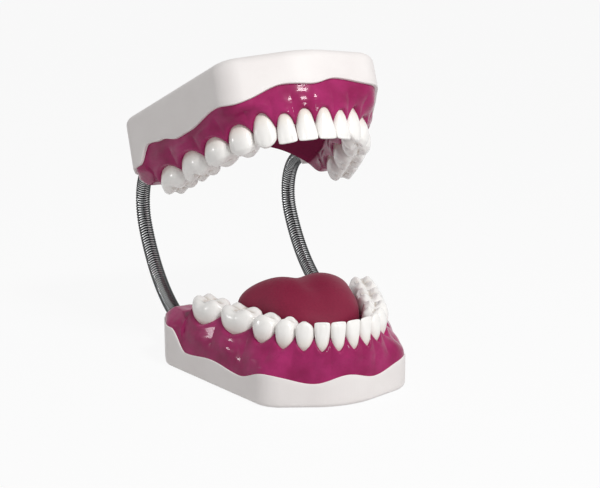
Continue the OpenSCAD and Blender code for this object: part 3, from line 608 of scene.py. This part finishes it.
# Each level: share of the crown's height, share of the width, lip side and tongue side as shares of
# the depth.
INCISOR = ((0, 0.74, -0.06, -0.94), (0.22, 0.87, 0.03, -1), (0.5, 0.97, 0.05, -0.8),
           (0.8, 1, 0.02, -0.42), (1, 0.94, -0.04, -0.2))
CANINE = ((0, 0.77, -0.06, -0.95), (0.22, 0.9, 0.04, -1), (0.5, 1, 0.07, -0.86),
          (0.76, 0.95, 0.03, -0.54), (0.91, 0.62, -0.02, -0.34), (1, 0.2, -0.1, -0.22))
PREMOLAR = ((0, 0.8, -0.05, -0.92), (0.28, 0.93, 0.04, -1), (0.55, 1, 0.06, -1.02),
            (0.84, 0.95, -0.03, -0.93), (1, 0.72, -0.18, -0.76))
MOLAR = ((0, 0.85, -0.04, -0.94), (0.28, 0.95, 0.03, -1), (0.55, 1, 0.05, -1.01),
         (0.84, 0.97, -0.02, -0.95), (1, 0.82, -0.13, -0.83))
TOOTH_FORMS = (INCISOR, INCISOR, CANINE, PREMOLAR, PREMOLAR, MOLAR, MOLAR)
CUSPS = (0, 0, 0, 2, 2, 4, 4)
TOOTH_ROUND, TOOTH_RINGS = 48, 40
TABLE_ANGLE = math.radians(62)


def level_at(form, share):
    """Width, lip side and tongue side of a crown at a share of its height."""
    marks = [Vector(m) for m in form]
    i = max([k for k in range(len(marks) - 1) if marks[k][0] <= share] or [0])
    t = (share - marks[i][0]) / (marks[i + 1][0] - marks[i][0])
    return between_marks(marks, i, t)


def soft_power(v, p):
    """Power of a number that keeps its sign."""
    return math.copysign(abs(v) ** p, v)


def tooth_point(jaw, i, around, down):
    """Place on a tooth, by the angle around it and the angle down from the middle of its top."""
    w, d, h = jaw["tooth_w"][i] - TOOTH_GAP, jaw["tooth_d"][i], jaw["crown_h"][i]
    form, cusps = TOOTH_FORMS[i], CUSPS[i]
    c, s = math.cos(around), math.sin(around)
    rounding = EDGE_ROUND if form is INCISOR else 0.0
    dip = CUSP_H * (1 + math.cos(cusps * around)) / 2
    fissure, share, on_top = 0.0, 1.0, down <= TABLE_ANGLE
    if on_top:
        reach = down / TABLE_ANGLE
        width, lip, tongue = level_at(form, share)[1:]
        z = -EDGE_FALL * reach ** 2 - rounding * reach ** 6
        if cusps:
            for q in FISSURES[cusps]:
                off = math.atan2(math.sin(around - q), math.cos(around - q)) * max(reach, 0.08)
                fissure = max(fissure, math.exp(-(off / FISSURE_W) ** 2) * ease((1.05 - reach) / 0.3))
            z = -HOLLOW_DEPTH * h * (1 - ease(reach / HOLLOW_SPREAD))
            z -= dip * ease((reach - CUSP_FROM) / (1 - CUSP_FROM))
            z -= CUSP_ROUND * reach ** 6 + FISSURE_D * fissure
    else:
        run = (down - TABLE_ANGLE) / (math.pi - TABLE_ANGLE)
        reach, share = 1.0, max(0.0, 1 - run / CROWN_RUN)
        width, lip, tongue = level_at(form, share)[1:]
        z = h * (share - 1) - EDGE_MEET * rounding * ease((share - EDGE_FROM) / (1 - EDGE_FROM))
        if run > CROWN_RUN:
            sunk = (run - CROWN_RUN) / (1 - CROWN_RUN)
            width *= 1 - PEG_TAPER * sunk
            lip, tongue = lip - PEG_DRAW * sunk, tongue + PEG_DRAW * sunk
            reach = math.sqrt(max(0.0, 1 - max(0.0, (sunk - PEG_ROUND) / (1 - PEG_ROUND)) ** 2))
            z = -h - TOOTH_PEG * min(1.0, sunk / PEG_END)
    middle, half = (lip + tongue) / 2, (lip - tongue) / 2
    x = w * width / 2 * soft_power(c, PLAN_POWER) * reach
    y = d * (middle + half * soft_power(s, PLAN_POWER) * reach)
    if on_top:
        return Vector((x, y, z)), share, fissure
    # Cusps run out down the sides, molars are grooved there and front teeth are fluted on the lip side
    if cusps:
        z -= dip * ease((share - CUSP_ROOT) / (1 - CUSP_ROOT)) + CUSP_ROUND * ease((share - 0.9) / 0.1)
    if cusps == 4:
        groove = math.exp(-(x / (SIDE_GROOVE_W * w)) ** 2) * ease((share - 0.3) / 0.5) * abs(s)
        y -= math.copysign(SIDE_GROOVE_D * d * groove, s)
    elif cusps == 0 and s > 0:
        flutes = math.exp(-((abs(x) / w - FLUTE_AT) / FLUTE_W) ** 2)
        y -= FLUTE_D * d * flutes * ease((share - 0.35) / 0.5) * s
    return Vector((x, y, z)), share, fissure


# Tooth resin: milky white and polished, a little warmer and duller towards the neck, and brownish in
# the fissures.
tooth_resin, tree, place = new_material("tooth_resin")
crown_share = add_node(tree, "ShaderNodeAttribute", {}, attribute_name="crown_share").outputs["Fac"]
fissure_mask = add_node(tree, "ShaderNodeAttribute", {}, attribute_name="fissure").outputs["Fac"]
neck_fade = add_node(tree, "ShaderNodeMapRange", {
    "Value": crown_share, "From Min": 0.05, "From Max": 0.6}, interpolation_type="SMOOTHSTEP")
enamel = add_node(tree, "ShaderNodeMixRGB", {
    "Fac": neck_fade.outputs[0], "Color1": colour("#eee7dc"), "Color2": colour("#faf8f5")})
milk = add_node(tree, "ShaderNodeTexNoise", {"Vector": place, "Scale": 1 / (6 * MM), "Detail": 4.0})
milk_fade = add_node(tree, "ShaderNodeMapRange", {"Value": milk.outputs["Fac"], "To Max": 0.3})
enamel = add_node(tree, "ShaderNodeMixRGB", {
    "Fac": milk_fade.outputs[0], "Color1": enamel.outputs[0], "Color2": colour("#eeeae4")})
fissure_darkening = add_node(tree, "ShaderNodeMath", {0: fissure_mask, 1: 0.55}, operation="MULTIPLY")
enamel = add_node(tree, "ShaderNodeMixRGB", {
    "Fac": fissure_darkening.outputs[0], "Color1": enamel.outputs[0], "Color2": colour("#b7a58e")})
ripple = add_node(tree, "ShaderNodeTexNoise", {"Vector": place, "Scale": 1 / (3.5 * MM), "Detail": 2.0})
polish = add_node(tree, "ShaderNodeBump", {
    "Height": ripple.outputs["Fac"], "Strength": 0.12, "Distance": 0.4 * MM})
show(tree, add_node(tree, "ShaderNodeBsdfPrincipled", {
    "Base Color": enamel.outputs[0], "Roughness": 0.24, "Normal": polish.outputs[0], "IOR": 1.52,
    "Coat Weight": 0.25, "Coat Roughness": 0.1}))

for jaw_name, jaw in JAWS.items():
    for side_name, side in (("left", -1), ("right", 1)):
        for i, tooth_name in enumerate(TOOTH_NAMES):
            bm = bmesh.new()
            bmesh.ops.create_uvsphere(bm, u_segments=TOOTH_ROUND, v_segments=TOOTH_RINGS, radius=1.0)
            crown_layer = bm.verts.layers.float.new("crown_share")
            fissure_layer = bm.verts.layers.float.new("fissure")
            for v in bm.verts:
                around = math.atan2(v.co.y, v.co.x)
                down = math.acos(max(-1.0, min(1.0, v.co.z)))
                p, v[crown_layer], v[fissure_layer] = tooth_point(jaw, i, around, down)
                point, out = arch(jaw, side * (jaw["tooth_mid"][i] + p.x))
                x, y = point.x + out.x * p.y, point.y + out.y * p.y
                v.co = (x, y, bite(jaw, y) + p.z)
            node = f"{jaw_name}_{side_name}_{tooth_name}"
            tooth = finish_piece(f"{node}_tooth", bm, jaw["seat"], tooth_resin)
            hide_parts(node)
            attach(tooth, f"{jaw_name}_jaw")


# Tongue.
# Soft vinyl, moulded in one piece with a groove down its middle and a matt, faintly velvety skin. It
# lies on the floor of the lower jaw and swells over the gum against the teeth.
TONGUE_L = 100.0
TONGUE_W = 88.0
TONGUE_TOP = 76.0
TONGUE_EDGE = 19.0
GROOVE_D = 4.0
GROOVE_W = 22.0
TONGUE_FIT = 2.0
TONGUE_OVER = 4.5
TONGUE_GAP = 14.0
# Width and height from the tip to the root, as shares of the greatest
BREADTH_AT, BREADTH = (0, 0.1, 0.62, 1), (0.6, 1, 1, 0.66)
HUMP_AT, HUMP = (0, 0.1, 0.3, 0.52, 0.75, 1), (0.5, 0.7, 0.93, 1, 0.86, 0.5)
TIP_LIFT, TIP_RUN = 14.0, 0.1
# Shares of the length over which the swell grows from the tip and dies away to the root
OVER_TIP, OVER_ROOT = 0.12, 0.3
# Powers of the section's round, where below 1 is squarer: width and height, above and below the edge
TOP_WIDE, TOP_HIGH, UNDER_WIDE, UNDER_HIGH = 0.9, 0.75, 0.55, 0.8
UNDER_TAPER, OVER_UNDER = 0.14, 0.24
TONGUE_ROWS = 110
TONGUE_ROUND = 96
lower = JAWS["lower"]
tongue_room = []
for k in range(GUM_STEPS + 1):
    s = lower["half_l"] * k / GUM_STEPS
    point, out = arch(lower, s)
    tooth_back = through(lower["tooth_mid"], lower["tooth_d"], s)
    inner = point - out * (tooth_back + TONGUE_SIDE_T + TONGUE_FIT)
    if inner.x >= 0:
        tongue_room.append((inner.y, inner.x))


def room_at(y):
    """Half the width that the gum leaves free at depth y."""
    for (y0, x0), (y1, x1) in zip(tongue_room, tongue_room[1:]):
        if y0 <= y <= y1:
            return x0 + (x1 - x0) * (y - y0) / max(SLACK, y1 - y0)
    return tongue_room[-1][1] if y > tongue_room[-1][0] else 0.0


def flow(places, values, v):
    """Curve through the values that doesn't level off at each of them."""
    i = max([k for k in range(len(places) - 1) if places[k] <= v] or [0])
    span, leans = places[i + 1] - places[i], []
    for k in (i, i + 1):
        a, b = max(0, k - 1), min(len(places) - 1, k + 1)
        leans.append((values[b] - values[a]) / (places[b] - places[a]))
    t = (v - places[i]) / span
    return ((1 + 2 * t) * (1 - t) ** 2 * values[i] + t * (1 - t) ** 2 * span * leans[0]
            + t ** 2 * (3 - 2 * t) * values[i + 1] + t ** 2 * (t - 1) * span * leans[1])


def tongue_place(column, row):
    """Rows run from the tip to the root, and columns round the tongue."""
    v = (1 - math.cos(math.pi * row / TONGUE_ROWS)) / 2
    y = lower["base_d"] / 2 - lower["floor_back"] - TONGUE_GAP - TONGUE_L * (1 - v)
    floor_z = lower["bed"] + FLOOR_T
    width = min(room_at(y), TONGUE_W / 2) * through(BREADTH_AT, BREADTH, v)
    over = TONGUE_OVER * ease(v / OVER_TIP) * ease((1 - v) / OVER_ROOT)
    top = floor_z + (TONGUE_TOP - floor_z) * flow(HUMP_AT, HUMP, v)
    low = floor_z + TIP_LIFT * max(0.0, 1 - v / TIP_RUN) ** 2
    middle = max(low + TONGUE_EDGE / 5, floor_z + TONGUE_EDGE)
    end = (1 - abs(2 * v - 1) ** 7) ** (1 / 3)
    a = 2 * math.pi * column / TONGUE_ROUND
    c, s = math.cos(a), math.sin(a)
    if s >= 0:
        x = (width + over) * soft_power(c, TOP_WIDE)
        z = middle + (top - middle) * s ** TOP_HIGH
        z -= GROOVE_D * math.exp(-(2 * x / GROOVE_W) ** 2) * min(1.0, 3 * v)
    else:
        x = width * soft_power(c, UNDER_WIDE) * (1 - UNDER_TAPER * abs(s) ** 2)
        x += math.copysign(over * (1 - ease(abs(s) / OVER_UNDER)), c)
        z = middle + (middle - low) * soft_power(s, UNDER_HIGH)
    return Vector((x * end, y, middle + (z - middle) * end))


# Matt vinyl: dull crimson, hardly any gloss, with a nap of fine papillae.
tongue_vinyl, tree, place = new_material("tongue_vinyl")
flush = add_node(tree, "ShaderNodeTexNoise", {"Vector": place, "Scale": 1 / (24 * MM), "Detail": 4.0})
blush = add_node(tree, "ShaderNodeMixRGB", {
    "Fac": flush.outputs["Fac"], "Color1": colour("#7e1c39"), "Color2": colour("#8e2443")})
nap = add_node(tree, "ShaderNodeTexVoronoi", {"Vector": place, "Scale": 1 / (1.5 * MM)})
nap_fade = add_node(tree, "ShaderNodeMapRange", {"Value": nap.outputs["Distance"], "To Max": 0.35})
blush = add_node(tree, "ShaderNodeMixRGB", {
    "Fac": nap_fade.outputs[0], "Color1": blush.outputs[0], "Color2": colour("#6e1c36")})
papillae = add_node(tree, "ShaderNodeBump", {
    "Height": nap.outputs["Distance"], "Strength": 0.25, "Distance": 0.35 * MM}, invert=True)
show(tree, add_node(tree, "ShaderNodeBsdfPrincipled", {
    "Base Color": blush.outputs[0], "Roughness": 0.62, "Normal": papillae.outputs[0], "IOR": 1.5,
    "Specular IOR Level": 0.2, "Sheen Weight": 0.06, "Sheen Roughness": 0.4}))

tongue = finish_piece("tongue_body", draw_sheet(TONGUE_ROUND, TONGUE_ROWS, tongue_place),
                      lower["seat"], tongue_vinyl)
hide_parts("tongue")
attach(tongue, "lower_jaw")


# Gooseneck arms.
# Two bendable tubes of wound steel strip, plated, with painted reflections in dark and bright streaks.
# Each leaves the back of the lower base, bows out in a C and is held at both ends in a turned cup.
ARM_R = 5.8
WIND_PITCH = 2.2
WIND_DEPTH = 0.55
WIND_GROOVE, WIND_EDGE = 0.3, 0.25
ARM_SPACING = 128.0
LOWER_ARM_H = 25.0
ARM_L = 204.0
CUP_START = 3.0
# Length along the arm, and how steeply it climbs there in degrees
SLOPES = ((9, 0), (30, 18), (116, 59), (171, 150), (195, 154.5))
# Where each bend is, and where along the arm it starts and ends
BENDS = ((24, 10, 44), (104, 76, 134), (190, 168, 199))
ARM_ROUND = 28
RINGS_A_TURN = 8


def slope(s):
    """How steeply an arm climbs at length s."""
    for (s0, a0), (s1, a1) in zip(SLOPES, SLOPES[1:]):
        if s <= s1:
            return math.radians(a0 + (a1 - a0) * min(1.0, max(0.0, (s - s0) / (s1 - s0))))
    return math.radians(SLOPES[-1][1])


arm_run = [Vector((lower["base_d"] / 2, LOWER_ARM_H))]
for k in range(int(ARM_L)):
    a = slope(k + 0.5)
    arm_run.append(arm_run[-1] + Vector((math.cos(a), math.sin(a))))


def arm_at(s):
    """Depth and height of the middle of an arm at length s."""
    i = min(int(s), len(arm_run) - 2)
    return arm_run[i].lerp(arm_run[i + 1], s - i)


# Bright plating on wound steel. Its colour is painted by the angle it is seen at into dark and bright
# streaks, which stand in for reflections along the rod, and painted shade darkens the groove.
arm_plating, tree, place = new_material("arm_plating")
# Painted shade: the groove of the winding is darkened to near black
groove = add_node(tree, "ShaderNodeAttribute", {}, attribute_name="groove").outputs["Fac"]
# Painted reflection: with the angle it is seen at, the colour runs from grey head-on through a white
# streak to near black at the edges
facing = add_node(tree, "ShaderNodeLayerWeight", {"Blend": 0.5}).outputs["Facing"]
crown = add_node(tree, "ShaderNodeValToRGB", {"Fac": facing})
PAINTED_STREAKS = (
    (0.0, "#46484b"), (0.05, "#6d6f72"), (0.12, "#ffffff"), (0.25, "#dfe1e2"), (0.42, "#2e2f32"),
    (1.0, "#121314"),
)
while len(crown.color_ramp.elements) < len(PAINTED_STREAKS):
    crown.color_ramp.elements.new(0.5)
for stop, (at, code) in zip(crown.color_ramp.elements, PAINTED_STREAKS):
    stop.position, stop.color = at, colour(code)
plating = add_node(tree, "ShaderNodeMixRGB", {
    "Fac": groove, "Color1": crown.outputs[0], "Color2": colour("#0b0b0c")})
rub = add_node(tree, "ShaderNodeTexNoise", {"Vector": place, "Scale": 1 / (5 * MM), "Detail": 4.0})
wear = add_node(tree, "ShaderNodeMapRange", {
    "Value": rub.outputs["Fac"], "To Min": 0.1, "To Max": 0.26})
show(tree, add_node(tree, "ShaderNodeBsdfPrincipled", {
    "Base Color": plating.outputs[0], "Metallic": 1.0, "Roughness": wear.outputs[0]}))

arm_cuts = [CUP_START] + [(a[0] + b[0]) / 2 for a, b in zip(BENDS, BENDS[1:])] + [ARM_L - CUP_START]
for side_name, side in (("left", -1), ("right", 1)):
    for i, (_, bend_start, bend_end) in enumerate(BENDS):
        start, stop = arm_cuts[i], arm_cuts[i + 1]
        rings = round((stop - start) / WIND_PITCH * RINGS_A_TURN)
        bm = bmesh.new()
        bmesh.ops.create_grid(bm, x_segments=ARM_ROUND, y_segments=rings, size=1.0)
        # Mask of the groove of the winding, for its painted shade
        painted_groove_shade_layer = bm.verts.layers.float.new("groove")
        for v in bm.verts:
            around = (v.co.x + 1) / 2
            s = start + (stop - start) * (v.co.y + 1) / 2
            a, q, p = slope(s), 2 * math.pi * around, arm_at(s)
            off_crown = abs(2 * ((s / WIND_PITCH + around) % 1.0) - 1)
            v[painted_groove_shade_layer] = ease((off_crown - WIND_GROOVE) / WIND_EDGE)
            r = ARM_R - WIND_DEPTH * off_crown ** 2
            x, up = side * ARM_SPACING / 2 + r * math.cos(q), r * math.sin(q)
            v.co = (x, p.x - up * math.sin(a), p.y + up * math.cos(a))
        bmesh.ops.remove_doubles(bm, verts=bm.verts, dist=WELD)
        bmesh.ops.holes_fill(bm, edges=[e for e in bm.edges if e.is_boundary], sides=0)
        piece = finish_piece(f"{side_name}_gooseneck_{i + 1}", bm,
                             Matrix.Scale(MM, 4), arm_plating)
        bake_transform(piece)
        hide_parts(f"{side_name}_arm_{i + 1}")
        if i == len(BENDS) - 1:
            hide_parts(f"{side_name}_arm_{i + 2}")


# Sockets and fasteners.
# Turned and plated cups hold the ends of the arms, each drawn up by a nut inside the base. Countersunk
# screws hold the closing plates.

# Turned and plated metal: bright, with fine tool marks and a little tarnish.
turned_plating, tree, place = new_material("turned_plating")
lathe = add_node(tree, "ShaderNodeTexNoise", {"Vector": place, "Scale": 1 / (0.8 * MM), "Detail": 2.0})
tool_marks = add_node(tree, "ShaderNodeMapRange", {
    "Value": lathe.outputs["Fac"], "To Min": 0.16, "To Max": 0.3})
tarnish = add_node(tree, "ShaderNodeTexNoise", {"Vector": place, "Scale": 1 / (7 * MM), "Detail": 3.0})
bright = add_node(tree, "ShaderNodeMixRGB", {
    "Fac": tarnish.outputs["Fac"], "Color1": colour("#8c8e91"), "Color2": colour("#adafb1")})
show(tree, add_node(tree, "ShaderNodeBsdfPrincipled", {
    "Base Color": bright.outputs[0], "Metallic": 1.0, "Roughness": tool_marks.outputs[0]}))

# Zinc-plated steel: grey and dull, with a faint spangle.
zinc_steel, tree, place = new_material("zinc_steel")
spangle = add_node(tree, "ShaderNodeTexVoronoi", {"Vector": place, "Scale": 1 / (1.2 * MM)})
zinc = add_node(tree, "ShaderNodeMixRGB", {
    "Fac": spangle.outputs["Distance"], "Color1": colour("#a6a9ad"), "Color2": colour("#8d9095")})
dull = add_node(tree, "ShaderNodeMapRange", {
    "Value": spangle.outputs["Distance"], "To Min": 0.34, "To Max": 0.5})
show(tree, add_node(tree, "ShaderNodeBsdfPrincipled", {
    "Base Color": zinc.outputs[0], "Metallic": 1.0, "Roughness": dull.outputs[0]}))

for jaw_name in JAWS:
    finishes = {f"{jaw_name}_{side}_socket": turned_plating for side in ("left", "right")}
    finishes[f"{jaw_name}_arm_nuts"] = zinc_steel
    finishes[f"{jaw_name}_plate_screws"] = zinc_steel
    for node, finish in finishes.items():
        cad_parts[node].data.materials.clear()
        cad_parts[node].data.materials.append(finish)


# Floor and light.
# A white floor under soft light: a broad lamp high in front, a small low one right of the camera, a
# weak one low on the left that glints on the gum, and an even white surround.
GLOW_SHARE = 0.92
FLOOR_HALF = 6.0
floor_white, tree, _ = new_material("floor_white")
ray = add_node(tree, "ShaderNodeLightPath", {})
paper = add_node(tree, "ShaderNodeBsdfDiffuse", {"Color": colour("#dedede")})
glow = add_node(tree, "ShaderNodeEmission", {"Color": colour("#ffffff"), "Strength": 1.0})
seen = add_node(tree, "ShaderNodeMath", {
    0: ray.outputs["Is Camera Ray"], 1: ray.outputs["Is Glossy Ray"]}, operation="MAXIMUM")
seen = add_node(tree, "ShaderNodeMath", {
    0: seen.outputs[0], 1: ray.outputs["Is Transmission Ray"]}, operation="MAXIMUM")
share = add_node(tree, "ShaderNodeMath", {0: seen.outputs[0], 1: GLOW_SHARE}, operation="MULTIPLY")
show(tree, add_node(tree, "ShaderNodeMixShader", {
    "Fac": share.outputs[0], 1: paper.outputs[0], 2: glow.outputs[0]}))
bm = bmesh.new()
bmesh.ops.create_grid(bm, x_segments=1, y_segments=1, size=FLOOR_HALF)
floor_mesh = bpy.data.meshes.new("floor")
bm.to_mesh(floor_mesh)
bm.free()
floor_mesh.materials.append(floor_white)
floor = bpy.data.objects.new("floor", floor_mesh)
bpy.context.scene.collection.objects.link(floor)

# The surround lights the object at the first level, and is seen and mirrored at the second
SURROUND_LIGHT, SURROUND_SEEN = 0.33, 0.955
world = bpy.data.worlds.new("surround")
world.use_nodes = True
bpy.context.scene.world = world
tree = world.node_tree
tree.nodes.clear()
ray = add_node(tree, "ShaderNodeLightPath", {})
seen = add_node(tree, "ShaderNodeMath", {
    0: ray.outputs["Is Camera Ray"], 1: ray.outputs["Is Transmission Ray"]}, operation="MAXIMUM")
seen = add_node(tree, "ShaderNodeMath", {
    0: seen.outputs[0], 1: ray.outputs["Is Glossy Ray"]}, operation="MAXIMUM")
level = add_node(tree, "ShaderNodeMapRange", {
    "Value": seen.outputs[0], "To Min": SURROUND_LIGHT, "To Max": SURROUND_SEEN})
surround = add_node(tree, "ShaderNodeBackground", {
    "Color": colour("#ffffff"), "Strength": level.outputs[0]})
add_node(tree, "ShaderNodeOutputWorld", {"Surface": surround.outputs[0]})

# Name, azimuth and elevation in degrees, distance and size in metres, power in watts
LAMPS = (
    ("key", 12, 47, 1.4, (0.3, 0.2), 11.0),
    ("low", 4, 15, 1.4, (0.12, 0.16), 2.6),
    ("side", -112, 9, 1.4, (0.1, 0.16), 1.5),
)
for name, azimuth, elevation, distance, (wide, high), power in LAMPS:
    lamp = bpy.data.lights.new(name, "AREA")
    lamp.shape = "RECTANGLE"
    lamp.size, lamp.size_y = wide, high
    lamp.energy = power
    holder = bpy.data.objects.new(name, lamp)
    a, e = math.radians(azimuth), math.radians(elevation)
    aside = Vector((math.sin(a) * math.cos(e), -math.cos(a) * math.cos(e), math.sin(e)))
    holder.location = AIM + aside * distance
    holder.rotation_euler = (-aside).to_track_quat("-Z", "Y").to_euler()
    bpy.context.scene.collection.objects.link(holder)

bpy.context.scene.view_settings.view_transform = "Standard"
